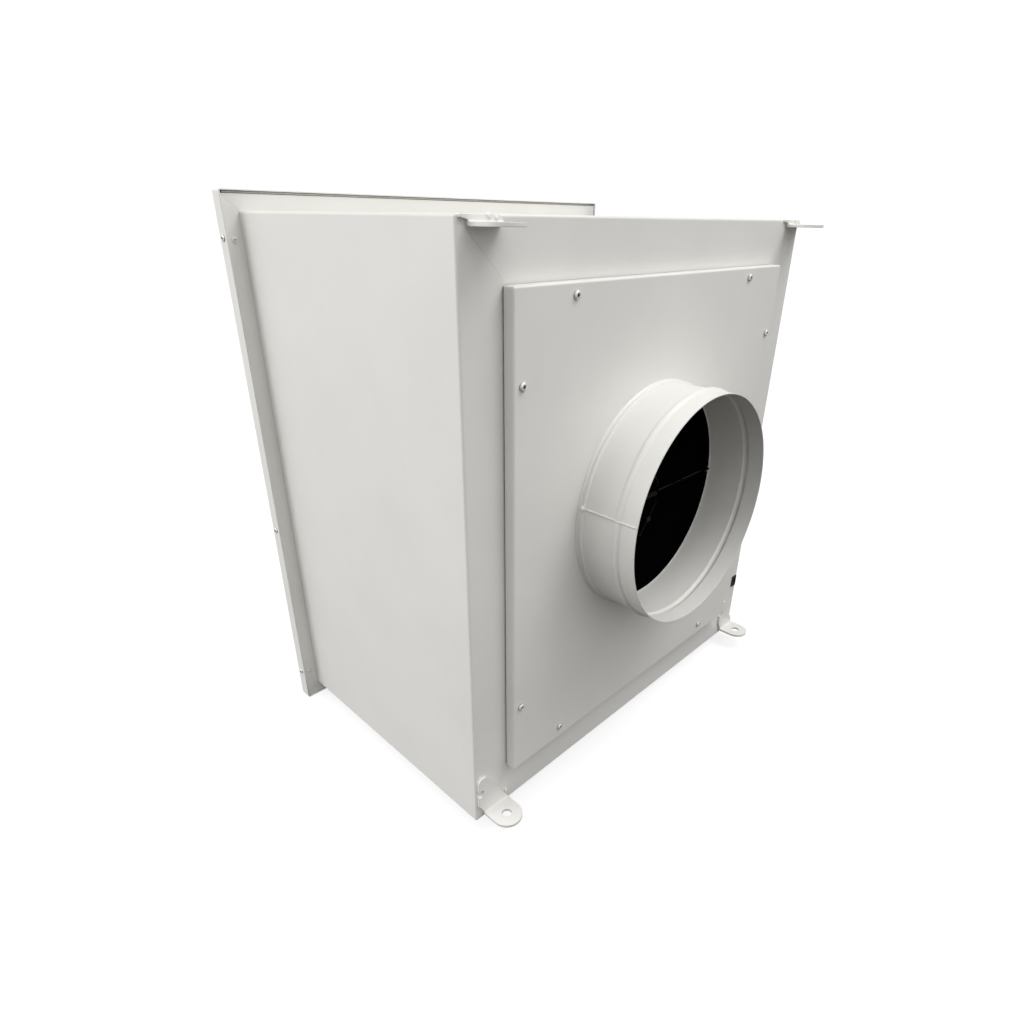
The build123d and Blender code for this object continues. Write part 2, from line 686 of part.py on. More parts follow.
def wheel_shroud():
    """Front shroud of the wheel with its short collar."""
    return turned([
        (WHEEL_EYE, SHROUD_COLLAR), (WHEEL_EYE + 1.5, SHROUD_COLLAR),
        (WHEEL_EYE + 1.5, SHROUD_NECK + 1), (WHEEL_RADIUS, SHROUD_RIM + 1.6),
        (WHEEL_RADIUS, SHROUD_RIM), (WHEEL_EYE, SHROUD_NECK),
    ])


def wheel_blades():
    """Backward-curved blades between the back disc and the shroud."""
    room = turned([
        (92, WHEEL_BACK + 2), (WHEEL_RADIUS - 1, WHEEL_BACK + 2),
        (WHEEL_RADIUS - 1, SHROUD_RIM + 0.3), (WHEEL_EYE, SHROUD_NECK - 0.05),
        (92, SHROUD_NECK - 0.05),
    ])
    camber = ring_y(111, 109, WHEEL_BACK, SHROUD_NECK + 5, x=75)
    blade = (camber & room) & slab(-200, 200, 0, 500, 0, 200)
    return [Rot(0, index * 360 / BLADE_COUNT, 0) * blade for index in range(BLADE_COUNT)]


def rotor_screw_places():
    """Screws joining the wheel to the rotor."""
    return [(sx * 26, sz * 26) for sx in (-1, 1) for sz in (-1, 1)]


def rotor_screws():
    """Screws through the wheel's back disc into the rotor."""
    return [
        rod_y(4.4, WHEEL_BACK + 2, WHEEL_BACK + 5, x, z)
        + rod_y(2.4, WHEEL_BACK - 3.5, WHEEL_BACK + 2.5, x, z)
        for x, z in rotor_screw_places()
    ]


def rotor_housing():
    """Outer rotor can of the motor."""
    end = WHEEL_BACK
    can = rod_y(ROTOR_RADIUS, end - 78, end)
    can = fillet(can.edges().group_by(Axis.Y)[-1], 5)
    can -= rod_y(ROTOR_RADIUS - 3.5, end - 90, end - 5)
    can -= rod_y(SHAFT_RADIUS, end - 90, end + 5)
    for x, z in rotor_screw_places():
        can -= rod_y(2.45, end - 4, end + 5, x, z)
    return can


def motor_shaft():
    """Shaft fixed in the rotor can, running in the stator's bearings."""
    return rod_y(SHAFT_RADIUS - 0.03, WHEEL_BACK - 92, WHEEL_BACK - 0.2)


def motor_bearings():
    """Two ball bearings in the stator tube."""
    return [
        ring_y(11, SHAFT_RADIUS, WHEEL_BACK - back, WHEEL_BACK - back + 7) for back in (88, 17)
    ]


def stator_base():
    """Motor flange and bearing tube, fixed to the carrier."""
    base = rod_y(62, MOTOR_Y, MOTOR_Y + 9)
    base = fillet(base.edges().group_by(Axis.Y)[-1], 3)
    base += rod_y(16, MOTOR_Y + 5, WHEEL_BACK - 9)
    base -= rod_y(11.05, MOTOR_Y + 9, WHEEL_BACK)
    base -= rod_y(8, MOTOR_Y - 1, MOTOR_Y + 12)
    for x, z in motor_screw_places():
        base -= rod_y(3.0, MOTOR_Y - 1, MOTOR_Y + 7, x, z)
    return base


def stator_windings():
    """Laminated stator with its windings."""
    core = ring_y(58, 16.1, WHEEL_BACK - 62, WHEEL_BACK - 26)
    coils = ring_y(52, 26, WHEEL_BACK - 72, WHEEL_BACK - 16)
    return core + fillet(coils.edges().filter_by(GeomType.CIRCLE), 4)


def motor_screw_places():
    """Bolts from the carrier into the motor's flange."""
    return [(sx * 32, sz * 32) for sx in (-1, 1) for sz in (-1, 1)]


def motor_screws():
    """Bolts that hold the motor to its carrier."""
    return [
        rod_y(5, MOTOR_Y - 8, MOTOR_Y - 3, x, z) + rod_y(2.9, MOTOR_Y - 4, MOTOR_Y + 6, x, z)
        for x, z in motor_screw_places()
    ]


def motor_carrier():
    """Cross-shaped plate that carries the motor on four stand-offs."""
    arm = Box(STANDOFF_PITCH * math.sqrt(2) + 36, 3, 42)
    plate = Pos(0, MOTOR_Y - 1.5, 0) * Rot(0, 45, 0) * arm
    plate += Pos(0, MOTOR_Y - 1.5, 0) * Rot(0, -45, 0) * arm
    plate += rod_y(72, MOTOR_Y - 3, MOTOR_Y)
    plate -= rod_y(12, MOTOR_Y - 5, MOTOR_Y + 2)
    for x, z in motor_screw_places():
        plate -= rod_y(3.1, MOTOR_Y - 5, MOTOR_Y + 2, x, z)
    for x, z in standoff_places():
        plate -= rod_y(4.1, MOTOR_Y - 5, MOTOR_Y + 2, x, z)
    return plate


def motor_standoffs():
    """Round stand-offs from the carrier to the deck, with threaded ends."""
    return [
        rod_y(7, MOTOR_Y, DECK_Y, x, z) + rod_y(4.0, MOTOR_Y - 11, DECK_Y + 9.5, x, z)
        for x, z in standoff_places()
    ]


def standoff_nuts():
    """Hexagon nuts on both ends of the stand-offs."""
    nuts = []
    for x, z in standoff_places():
        for y in (MOTOR_Y - 9.5, DECK_Y + 1.5):
            nut = extrude(Plane.XZ * RegularPolygon(7.5, 6), amount=6.5, dir=(0, 1, 0))
            nuts.append(Pos(x, y, z) * nut - rod_y(4.05, y - 1, y + 8, x, z))
    return nuts


# ---- electrical parts ---------------------------------------------------------------
BOX_X = (RIGHT - SHEET - 42, RIGHT - SHEET)
BOX_Y = (BACK + 22, BACK + 112)
BOX_Z = (BOTTOM + 24, BOTTOM + 112)


def terminal_box():
    """Open-fronted wiring box on the right wall, below the supply inlet."""
    box = slab(*BOX_X, *BOX_Y, *BOX_Z)
    box = fillet(box.edges().filter_by(Axis.X), 4)
    box -= slab(BOX_X[0] - 1, BOX_X[1] - 2, BOX_Y[0] + 2, BOX_Y[1] - 2, BOX_Z[0] + 2, BOX_Z[1] - 2)
    gland_z = (BOX_Z[0] + BOX_Z[1]) / 2
    box -= rod_y(6, BOX_Y[0] - 5, BOX_Y[0] + 5, BOX_X[0] + 20, gland_z)
    return box


def terminal_lid():
    """Lid of the wiring box, with a lip inside the box's walls."""
    lid = slab(BOX_X[0] - 2.2, BOX_X[0], *BOX_Y, *BOX_Z)
    lid = fillet(lid.edges().filter_by(Axis.X), 4)
    lip = slab(
        BOX_X[0], BOX_X[0] + 3, BOX_Y[0] + 2.3, BOX_Y[1] - 2.3, BOX_Z[0] + 2.3, BOX_Z[1] - 2.3
    )
    lip -= slab(
        BOX_X[0] - 1, BOX_X[0] + 4, BOX_Y[0] + 4, BOX_Y[1] - 4, BOX_Z[0] + 4, BOX_Z[1] - 4
    )
    return lid + lip


def terminal_block():
    """Terminal block on the floor of the wiring box."""
    x = BOX_X[1] - 2
    y0, z0 = BOX_Y[0] + 22, BOX_Z[0] + 14
    block = slab(x - 16, x, y0, y0 + 22, z0, z0 + 60)
    for index in range(5):
        block -= rod_x(2.6, x - 20, x - 6, y0 + 11, z0 + 6 + index * 12)
    return block


# ---- write every sub-part -----------------------------------------------------------
shell = cabinet_shell()
for side_name in ("left", "right", "top", "bottom"):
    write(f"cabinet_{side_name}", shell & mitre(side_name))
write("flange_rivets", flange_rivets())
write("cable_inlet_frame", cable_inlet_frame())
write("cable_inlet_bush", cable_inlet_bush())

for lug_name, lug_x in (("left", LEFT + 2), ("right", RIGHT - LUG_WIDTH)):
    write(f"lug_lower_{lug_name}", lower_lug(lug_x))
    write(f"lug_upper_{lug_name}", upper_lug(lug_x))

write("access_panel", access_panel())
write("panel_seal", panel_seal())
write("panel_screws", [pan_screw_y(x, z, PANEL_FRONT, BACK + 9) for x, z in PANEL_SCREWS])
write("panel_nuts", [rivet_nut_y(x, z) for x, z in PANEL_SCREWS])
write("duct_spigot", duct_spigot())

write("damper_ring", damper_ring())
write("damper_hinge_rod", hinge_rod())
write("damper_spring_coil", spring_coil())
for flap_name, flap_side in (("upper", 1), ("lower", -1)):
    write(f"damper_flap_{flap_name}", damper_flap(flap_side))
    write(f"spring_arm_{flap_name}", spring_arm(flap_side))
    write(f"arm_clip_{flap_name}", arm_clip(flap_side))

write("room_cover", room_cover())
write("cover_seal", cover_seal())
write("cover_screws", cover_screws())
write("cover_nuts", cover_nuts())
write("grille_frame", grille_frame())
write("grille_louvres", grille_louvres())
write("grille_screws", grille_screws())
write("filter_frame", filter_frame())
write("filter_pad", filter_pad())
write("filter_guide_left", filter_guide(-1))
write("filter_guide_right", filter_guide(1))

write("deck_runner_left", deck_runner(-1))
write("deck_runner_right", deck_runner(1))
write("fan_deck", fan_deck())
write("deck_screws", deck_screws())
write("inlet_ring", inlet_ring())
write("inlet_ring_screws", inlet_ring_screws())

write("wheel_backplate", wheel_backplate())
write("wheel_blades", wheel_blades())
write("wheel_shroud", wheel_shroud())
write("rotor_screws", rotor_screws())
write("rotor_housing", rotor_housing())
write("motor_shaft", motor_shaft())
write("motor_bearings", motor_bearings())
write("stator_base", stator_base())
write("stator_windings", stator_windings())
write("motor_screws", motor_screws())
write("motor_carrier", motor_carrier())
write("motor_standoffs", motor_standoffs())
write("standoff_nuts", standoff_nuts())

write("terminal_box", terminal_box())
write("terminal_lid", terminal_lid())
write("terminal_block", terminal_block())
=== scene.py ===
import json
import math

import bmesh
import bpy
from mathutils import Matrix, Vector
from mathutils import noise as mesh_noise
from mathutils.bvhtree import BVHTree


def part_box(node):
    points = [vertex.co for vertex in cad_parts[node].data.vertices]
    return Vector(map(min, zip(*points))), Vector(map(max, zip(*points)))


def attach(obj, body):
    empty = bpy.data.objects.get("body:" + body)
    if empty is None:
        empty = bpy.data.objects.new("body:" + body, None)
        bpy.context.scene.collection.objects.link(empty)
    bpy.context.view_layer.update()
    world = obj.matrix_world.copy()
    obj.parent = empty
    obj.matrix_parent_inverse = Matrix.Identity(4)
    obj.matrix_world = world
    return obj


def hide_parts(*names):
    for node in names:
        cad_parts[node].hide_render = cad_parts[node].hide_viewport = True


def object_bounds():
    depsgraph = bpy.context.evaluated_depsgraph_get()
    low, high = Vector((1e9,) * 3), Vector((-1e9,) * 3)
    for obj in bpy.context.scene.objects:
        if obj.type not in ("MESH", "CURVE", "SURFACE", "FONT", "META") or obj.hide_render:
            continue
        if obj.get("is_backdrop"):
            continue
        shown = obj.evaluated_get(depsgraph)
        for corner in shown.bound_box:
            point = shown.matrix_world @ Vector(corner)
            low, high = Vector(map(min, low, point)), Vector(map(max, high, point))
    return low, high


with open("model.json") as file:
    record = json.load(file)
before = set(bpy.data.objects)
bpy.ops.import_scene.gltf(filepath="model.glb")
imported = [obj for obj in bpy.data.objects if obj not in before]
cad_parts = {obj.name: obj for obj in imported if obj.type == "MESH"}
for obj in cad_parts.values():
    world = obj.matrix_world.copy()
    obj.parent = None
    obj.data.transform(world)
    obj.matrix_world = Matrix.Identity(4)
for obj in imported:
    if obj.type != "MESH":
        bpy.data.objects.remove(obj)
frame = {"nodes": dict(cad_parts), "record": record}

# The ducted extractor fan as it looks: powder-coated folded sheet with welded lugs, a beaded
# spigot with a lapped seam, a black shut-off damper, and its fasteners. Metres, in the CAD's frame.

MM = 0.001
NODES = frame["nodes"]
SCENE = bpy.context.scene
CAD_LOW, CAD_HIGH = (Vector(corner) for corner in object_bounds())


def noise_at(point):
    """Smooth noise between -1 and 1 that depends on place alone."""
    return mesh_noise.noise(point)


# ---- places taken from the frame ----------------------------------------------------
CENTRE = (CAD_LOW + CAD_HIGH) / 2
PANEL_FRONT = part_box("access_panel")[0].y
FLANGE_OVERHANG = 15.9 * MM             # the room flange past the cabinet's left wall
COVER_DROP = 17.6 * MM                  # the room cover past the cabinet's bottom
DUCT_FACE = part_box("lug_lower_left")[1].y
CABINET_CORNER = Vector((
    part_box("cabinet_left")[0].x + FLANGE_OVERHANG, DUCT_FACE, CAD_LOW.z + COVER_DROP
))


# ---- shader graphs ------------------------------------------------------------------
def new_graph(name):
    """A material and its node tree, emptied."""
    material = bpy.data.materials.new(name)
    material.use_nodes = True
    tree = material.node_tree
    tree.nodes.clear()
    return material, tree


def node(tree, kind, **settings):
    """Adds a node; settings are its attributes or, for a name with no attribute, its inputs."""
    made = tree.nodes.new(kind)
    for key, value in settings.items():
        if hasattr(made, key):
            setattr(made, key, value)
        else:
            made.inputs[key.replace("_", " ")].default_value = value
    return made


def noise(tree, coordinates, scale, detail=3.0, roughness=0.55):
    """Fractal noise over the coordinates, around 0.5."""
    made = node(tree, "ShaderNodeTexNoise", Scale=scale, Detail=detail, Roughness=roughness)
    tree.links.new(coordinates, made.inputs["Vector"])
    return made.outputs["Fac"]


def ramp(tree, value, low, high, low_value=0.0, high_value=1.0):
    """Stretches a value's range from low and high to the two values, and clamps it."""
    made = node(
        tree, "ShaderNodeMapRange", From_Min=low, From_Max=high, To_Min=low_value, To_Max=high_value
    )
    tree.links.new(value, made.inputs["Value"])
    return made.outputs["Result"]


def mix_colour(tree, factor, first, second):
    """Mixes two colours, each a tuple or another node's output."""
    made = tree.nodes.new("ShaderNodeMix")
    made.data_type = "RGBA"
    for socket, value in (("A", first), ("B", second)):
        target = [i for i in made.inputs if i.name == socket and i.type == "RGBA"][0]
        if isinstance(value, tuple):
            target.default_value = (*value, 1.0)
        else:
            tree.links.new(value, target)
    factor_in = [i for i in made.inputs if i.name == "Factor" and i.type == "VALUE"][0]
    tree.links.new(factor, factor_in)
    return [o for o in made.outputs if o.type == "RGBA"][0]


def surface(tree, colour, roughness, normal=None, metallic=0.0, specular=0.5):
    """Closes a material with one principled surface."""
    shader = node(tree, "ShaderNodeBsdfPrincipled")
    shader.inputs["Metallic"].default_value = metallic
    shader.inputs["Specular IOR Level"].default_value = specular
    tree.links.new(colour, shader.inputs["Base Color"])
    tree.links.new(roughness, shader.inputs["Roughness"])
    if normal is not None:
        tree.links.new(normal, shader.inputs["Normal"])
    out = tree.nodes.new("ShaderNodeOutputMaterial")
    tree.links.new(shader.outputs["BSDF"], out.inputs["Surface"])


def bump(tree, height, distance, strength=1.0, normal=None):
    """A normal that leans as the height asks, on top of another normal if there is one."""
    made = node(tree, "ShaderNodeBump", Strength=strength, Distance=distance)
    tree.links.new(height, made.inputs["Height"])
    if normal is not None:
        tree.links.new(normal, made.inputs["Normal"])
    return made.outputs["Normal"]


ORANGE_PEEL = 0.04 * MM
SHEET_WAVE = 1.2 * MM                   # how much broad thin sheet buckles
COAT_ROUNDING = 0.9 * MM                # radius that folds and coat give to every edge


def powder_coat(name, base, shade):
    """Satin powder coat: rounded edges, orange-peel ripple, cloudy unevenness, handling marks."""
    material, tree = new_graph(name)
    place = tree.nodes.new("ShaderNodeTexCoord").outputs["Object"]
    cloud = noise(tree, place, 9.0, 4.0)
    grime = noise(tree, place, 38.0, 6.0, 0.7)
    peel = noise(tree, place, 900.0, 2.0)
    broad = noise(tree, place, 3.0, 2.0)
    colour = mix_colour(tree, ramp(tree, cloud, 0.35, 0.7), base, shade)
    dulled = tuple(c * 0.93 for c in base)
    colour = mix_colour(tree, ramp(tree, grime, 0.62, 0.8, 0.0, 0.5), colour, dulled)
    rough = ramp(tree, grime, 0.3, 0.75, 0.34, 0.48)
    rounded = node(tree, "ShaderNodeBevel", Radius=COAT_ROUNDING)
    rounded.samples = 6
    normal = bump(tree, broad, SHEET_WAVE, 0.5, rounded.outputs["Normal"])
    normal = bump(tree, peel, ORANGE_PEEL, 1.0, normal)
    surface(tree, colour, rough, normal)
    return material


FINE_TEXTURE = 0.03 * MM


def metal(name, base, shade, rough_low, rough_high, grain=(60.0, 60.0, 60.0)):
    """Bare or plated metal with a directional grain and uneven gloss."""
    material, tree = new_graph(name)
    coordinates = tree.nodes.new("ShaderNodeTexCoord").outputs["Object"]
    stretch = tree.nodes.new("ShaderNodeMapping")
    stretch.inputs["Scale"].default_value = grain
    tree.links.new(coordinates, stretch.inputs["Vector"])
    fine = noise(tree, stretch.outputs["Vector"], 14.0, 4.0)
    patches = noise(tree, coordinates, 45.0, 3.0)
    colour = mix_colour(tree, ramp(tree, patches, 0.35, 0.7), base, shade)
    rough = ramp(tree, fine, 0.3, 0.7, rough_low, rough_high)
    surface(tree, colour, rough, bump(tree, fine, FINE_TEXTURE), metallic=1.0)
    return material


PAINTED_SHADE_REACH = 2.4 * MM                   # how near another surface the recesses are painted in shade


def plated(name, base, shade, recess_shade_colour):
    """Bright zinc plating on a small fastener, with painted shade in its recess and seat: dark wherever
    another surface is near.
    """
    material, tree = new_graph(name)
    coordinates = tree.nodes.new("ShaderNodeTexCoord").outputs["Object"]
    fine = noise(tree, coordinates, 900.0, 3.0)
    patches = noise(tree, coordinates, 260.0, 3.0)
    recess_shade_ao = node(tree, "ShaderNodeAmbientOcclusion", Distance=PAINTED_SHADE_REACH)
    recess_shade_ao.samples = 8
    colour = mix_colour(tree, ramp(tree, patches, 0.35, 0.7), base, shade)
    # Painted shade: the colour goes to the dark recess colour where ambient occlusion finds another
    # surface near.
    colour = mix_colour(tree, ramp(tree, recess_shade_ao.outputs["AO"], 0.5, 0.85), recess_shade_colour, colour)
    rough = ramp(tree, fine, 0.3, 0.7, 0.3, 0.44)
    surface(tree, colour, rough, bump(tree, fine, 0.02 * MM), metallic=0.45)
    return material


def spangle(name):
    """Hot-dip galvanised sheet: angular zinc spangle with per-crystal tone and gloss."""
    material, tree = new_graph(name)
    coordinates = tree.nodes.new("ShaderNodeTexCoord").outputs["Object"]
    cells = node(tree, "ShaderNodeTexVoronoi", Scale=110.0, Randomness=1.0)
    tree.links.new(coordinates, cells.inputs["Vector"])
    tone = node(tree, "ShaderNodeSeparateColor")
    tree.links.new(cells.outputs["Color"], tone.inputs["Color"])
    colour = mix_colour(tree, tone.outputs["Red"], (0.46, 0.48, 0.5), (0.62, 0.64, 0.66))
    rough = ramp(tree, tone.outputs["Green"], 0.0, 1.0, 0.3, 0.5)
    fine = noise(tree, coordinates, 400.0, 2.0)
    surface(tree, colour, rough, bump(tree, fine, FINE_TEXTURE), metallic=1.0)
    return material


def moulded(name, base, shade, rough=0.5, specular=0.5):
    """Moulded plastic or rubber with a fine texture."""
    material, tree = new_graph(name)
    coordinates = tree.nodes.new("ShaderNodeTexCoord").outputs["Object"]
    fine = noise(tree, coordinates, 500.0, 3.0)
    patches = noise(tree, coordinates, 30.0, 3.0)
    colour = mix_colour(tree, ramp(tree, patches, 0.35, 0.7), base, shade)
    roughness = ramp(tree, fine, 0.3, 0.7, rough - 0.08, rough + 0.08)
    surface(tree, colour, roughness, bump(tree, fine, 0.04 * MM), specular=specular)
    return material


# Painted highlight: a thin lighter line at this height along the top of the hinge's knuckles.
HIGHLIGHT_LINE_HEIGHT = 2.5 * MM                # above the hinge's axis
HIGHLIGHT_LINE_HALF_WIDTH = 0.45 * MM


def damper_black(name, base, shade, painted_highlight):
    """Dead black flap paint, with a painted highlight: a thin lighter line along the top of the hinge's
    knuckles, broken up by noise.
    """
    material, tree = new_graph(name)
    coordinates = tree.nodes.new("ShaderNodeTexCoord").outputs["Object"]
    height = tree.nodes.new("ShaderNodeSeparateXYZ")
    tree.links.new(coordinates, height.inputs["Vector"])
    fine = noise(tree, coordinates, 300.0, 3.0)
    highlight_breakup = noise(tree, coordinates, 25.0, 4.0, 0.7)
    on_line = node(tree, "ShaderNodeMath", operation="COMPARE")
    on_line.inputs[1].default_value = HIGHLIGHT_LINE_HEIGHT
    on_line.inputs[2].default_value = HIGHLIGHT_LINE_HALF_WIDTH
    tree.links.new(height.outputs["Z"], on_line.inputs[0])
    line = node(tree, "ShaderNodeMath", operation="MULTIPLY")
    tree.links.new(on_line.outputs[0], line.inputs[0])
    tree.links.new(ramp(tree, highlight_breakup, 0.3, 0.6), line.inputs[1])
    colour = mix_colour(tree, ramp(tree, fine, 0.35, 0.7), base, shade)
    # Painted highlight along the top of the hinge, broken up by noise.
    colour = mix_colour(tree, line.outputs[0], colour, painted_highlight)
    rough = ramp(tree, fine, 0.3, 0.7, 0.55, 0.7)
    surface(tree, colour, rough, bump(tree, fine, 0.02 * MM), specular=0.0)
    return material


def foam(name, base, shade):
    """Closed-cell foam: fine pits."""
    material, tree = new_graph(name)
    coordinates = tree.nodes.new("ShaderNodeTexCoord").outputs["Object"]
    cells = node(tree, "ShaderNodeTexVoronoi", Scale=700.0)
    tree.links.new(coordinates, cells.inputs["Vector"])
    colour = mix_colour(tree, ramp(tree, cells.outputs["Distance"], 0.1, 0.7), shade, base)
    rough = ramp(tree, cells.outputs["Distance"], 0.0, 1.0, 0.85, 0.98)
    surface(tree, colour, rough, bump(tree, cells.outputs["Distance"], 0.4 * MM))
    return material


def fibre_pad(name):
    """Non-woven filter fibre: crossing hairs at two scales."""
    material, tree = new_graph(name)
    coordinates = tree.nodes.new("ShaderNodeTexCoord").outputs["Object"]
    hairs = node(tree, "ShaderNodeTexNoise", Scale=260.0, Detail=8.0, Roughness=0.75, Distortion=2.5)
    tree.links.new(coordinates, hairs.inputs["Vector"])
    clumps = noise(tree, coordinates, 35.0, 4.0)
    colour = mix_colour(tree, ramp(tree, hairs.outputs["Fac"], 0.35, 0.65),
                        (0.42, 0.43, 0.43), (0.82, 0.83, 0.82))
    colour = mix_colour(tree, ramp(tree, clumps, 0.4, 0.75, 0.0, 0.5), colour, (0.5, 0.5, 0.48))
    rough = ramp(tree, hairs.outputs["Fac"], 0.2, 0.8, 0.8, 1.0)
    surface(tree, colour, rough, bump(tree, hairs.outputs["Fac"], 1.2 * MM))
    return material


WHITE = (0.80, 0.789, 0.754)
WHITE_SHADE = (0.765, 0.756, 0.722)

MATERIALS = {
    "white_powder_coat": powder_coat("white_powder_coat", WHITE, WHITE_SHADE),
    "galvanised_sheet": spangle("galvanised_sheet"),
    # The third colour is the painted shade of the fasteners' recesses and seats.
    "zinc_fastener": plated(
        "zinc_fastener", (0.9, 0.9, 0.88), (0.78, 0.78, 0.76), (0.02, 0.02, 0.02)
    ),
    # The third colour is the painted highlight along the top of the hinge.
    "flap_black": damper_black(
        "flap_black", (0.0008, 0.0008, 0.0008), (0.0016, 0.0016, 0.0015), (0.03, 0.03, 0.03)
    ),
    "spring_wire": moulded(
        "spring_wire", (0.009, 0.009, 0.009), (0.004, 0.004, 0.004), specular=0.12
    ),
    "black_foam": foam("black_foam", (0.02, 0.02, 0.02), (0.006, 0.006, 0.006)),
    "grey_foam": foam("grey_foam", (0.6, 0.6, 0.58), (0.4, 0.4, 0.39)),
    "black_plastic": moulded("black_plastic", (0.015, 0.015, 0.015), (0.022, 0.022, 0.022), 0.4),
    "black_rubber": moulded("black_rubber", (0.01, 0.01, 0.01), (0.018, 0.018, 0.018), 0.65),
    "filter_fibre": fibre_pad("filter_fibre"),
    "wheel_sheet": powder_coat("wheel_sheet", (0.03, 0.03, 0.032), (0.045, 0.045, 0.048)),
    "motor_casting": metal("motor_casting", (0.5, 0.51, 0.52), (0.42, 0.43, 0.44), 0.4, 0.6),
    "bright_steel": metal("bright_steel", (0.62, 0.62, 0.62), (0.55, 0.55, 0.56), 0.12, 0.25),
    "stator_winding": metal(
        "stator_winding", (0.55, 0.23, 0.09), (0.42, 0.16, 0.06), 0.25, 0.5, (1.0, 120.0, 1.0)
    ),
    "grey_plastic": moulded("grey_plastic", (0.33, 0.34, 0.35), (0.3, 0.31, 0.32), 0.35),
}

for entry in frame["record"]["subparts"]:
    mesh = NODES[entry["node"]].data
    mesh.materials.clear()
    mesh.materials.append(MATERIALS[entry["material_slot"]])


# ---- camera -------------------------------------------------------------------------
CAMERA_TURNS = (46.175, -26.411, 0.846)         # azimuth, elevation and roll in degrees
CAMERA_FROM_CORNER = Vector((-0.3202, -0.387, 0.5931))
STAGE_REACH = 20.0                              # radius of the floor and backdrop
SENSOR_WIDTH = 36.0                             # millimetres, as is the focal length
FOCAL_LENGTH = 22.793
LENS_SHIFT = (-0.0206, 0.0278)


def place_camera():
    """From the left of the duct side, at the height of the cabinet's top, looking down."""
    azimuth, elevation, roll = (math.radians(angle) for angle in CAMERA_TURNS)
    ahead = Vector((
        math.sin(azimuth) * math.cos(elevation),
        math.cos(azimuth) * math.cos(elevation),
        math.sin(elevation),
    ))
    level = Vector((math.cos(azimuth), -math.sin(azimuth), 0.0))
    over = level.cross(ahead)
    right = math.cos(roll) * level + math.sin(roll) * over
    up = -math.sin(roll) * level + math.cos(roll) * over
    camera = bpy.data.objects.new("photo_camera", bpy.data.cameras.new("photo_camera"))
    SCENE.collection.objects.link(camera)
    turn = Matrix((right, up, -ahead)).transposed().to_4x4()
    camera.matrix_world = Matrix.Translation(CABINET_CORNER + CAMERA_FROM_CORNER) @ turn
    camera.data.sensor_width = SENSOR_WIDTH
    camera.data.lens = FOCAL_LENGTH
    camera.data.shift_x, camera.data.shift_y = LENS_SHIFT
    camera.data.clip_end = 10 * STAGE_REACH
    SCENE.camera = camera


place_camera()


# ---- floor, backdrop and light ------------------------------------------------------
def glowing_white(name, base, glow):
    """A matt white that also glows by itself."""
    material, tree = new_graph(name)
    shader = node(tree, "ShaderNodeBsdfPrincipled")
    shader.inputs["Base Color"].default_value = (base, base, base, 1.0)
    shader.inputs["Roughness"].default_value = 1.0
    shader.inputs["Specular IOR Level"].default_value = 0.0
    shader.inputs["Emission Color"].default_value = (1.0, 1.0, 1.0, 1.0)
    shader.inputs["Emission Strength"].default_value = glow
    out = tree.nodes.new("ShaderNodeOutputMaterial")
    tree.links.new(shader.outputs["BSDF"], out.inputs["Surface"])
    return material


def studio():
    """A plain white floor and dome that the camera sees, which add no light of their own."""
    made = bmesh.new()
    bmesh.ops.create_grid(made, x_segments=1, y_segments=1, size=STAGE_REACH)
    mesh = bpy.data.meshes.new("floor")
    made.to_mesh(mesh)
    made.free()
    floor = bpy.data.objects.new("floor", mesh)
    floor.location = (0.0, 0.0, CAD_LOW.z)
    mesh.materials.append(glowing_white("floor_white", 0.3, 0.78))

    made = bmesh.new()
    bmesh.ops.create_icosphere(made, subdivisions=5, radius=STAGE_REACH)
    mesh = bpy.data.meshes.new("backdrop")
    made.to_mesh(mesh)
    made.free()
    dome = bpy.data.objects.new("backdrop", mesh)
    mesh.materials.append(glowing_white("backdrop_white", 0.0, 1.05))

    for stage_piece in (floor, dome):
        SCENE.collection.objects.link(stage_piece)
        stage_piece.visible_diffuse = False
        stage_piece.visible_glossy = False
        stage_piece.visible_shadow = False
        stage_piece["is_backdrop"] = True


SKY_LOBES = (
    # (direction that the light comes from, strength)
    ((0.0, 0.0, 1.0), 0.62),
    ((0.0, -0.7, 0.7), 0.8),
    ((0.0, -1.0, 0.3), 0.21),
    ((0.7, -0.7, 0.3), 0.17),
    ((-0.7, 0.7, 0.3), 1.27),
)


def sky():
    """Soft surrounding light, the sum of broad glows, each fading to nothing at its sides."""
    world = bpy.data.worlds.new("studio")
    world.use_nodes = True
    tree = world.node_tree
    tree.nodes.clear()
    direction = tree.nodes.new("ShaderNodeTexCoord").outputs["Generated"]
    total = None
    for way, strength in SKY_LOBES:
        lean = node(tree, "ShaderNodeVectorMath", operation="DOT_PRODUCT")
        lean.inputs[1].default_value = Vector(way).normalized()
        tree.links.new(direction, lean.inputs[0])
        facing = ramp(tree, lean.outputs["Value"], 0.0, 1.0, 0.0, math.sqrt(strength))
        glow = node(tree, "ShaderNodeMath", operation="MULTIPLY")
        tree.links.new(facing, glow.inputs[0])
        tree.links.new(facing, glow.inputs[1])
        if total is None:
            total = glow.outputs[0]
        else:
            sum_node = node(tree, "ShaderNodeMath", operation="ADD")
            tree.links.new(total, sum_node.inputs[0])
            tree.links.new(glow.outputs[0], sum_node.inputs[1])
            total = sum_node.outputs[0]
    background = tree.nodes.new("ShaderNodeBackground")
    tree.links.new(total, background.inputs["Color"])
    out = tree.nodes.new("ShaderNodeOutputWorld")
    tree.links.new(background.outputs["Background"], out.inputs["Surface"])
    SCENE.world = world


def softbox(name, place, target, size, power):
    """A square soft light of a size in metres and a power in watts, aimed at a target."""
    light = bpy.data.lights.new(name, "AREA")
    light.size = size
    light.energy = power
    lamp = bpy.data.objects.new(name, light)
    lamp.location = place
    lamp.rotation_euler = (Vector(target) - Vector(place)).to_track_quat("-Z", "Y").to_euler()
    SCENE.collection.objects.link(lamp)


